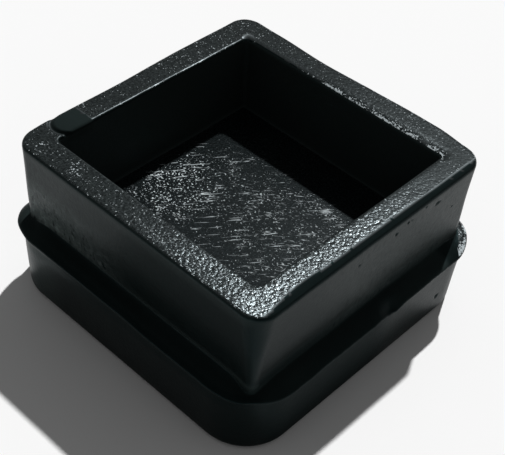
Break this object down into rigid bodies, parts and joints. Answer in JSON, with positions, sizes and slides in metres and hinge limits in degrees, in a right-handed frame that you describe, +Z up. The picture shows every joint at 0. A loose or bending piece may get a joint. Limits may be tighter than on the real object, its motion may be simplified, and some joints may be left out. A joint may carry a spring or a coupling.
{
  "type": "square leg tip",
  "caption": "One-piece black rubber foot for a square tube leg: a hollow square plug, a sloped shoulder that stops at the tube's end, and a solid foot with large rounded corners.",
  "frame": {"origin": "centre of the foot's flat underside", "axes": "+Z up along the leg's axis, from the floor to the plug's open rim; +X and +Y across the two pairs of sides; the gate mark is on the -X rim"},
  "size_m": [0.0382, 0.0382, 0.0196],
  "materials": {
    "rubber": "black moulded rubber: coarse sparkling grain on the rim and the pocket's floor, smooth satin sides and shoulder"
  },
  "bodies": {
    "root": {"leg_tip": "rubber"}
  },
  "joints": []
}
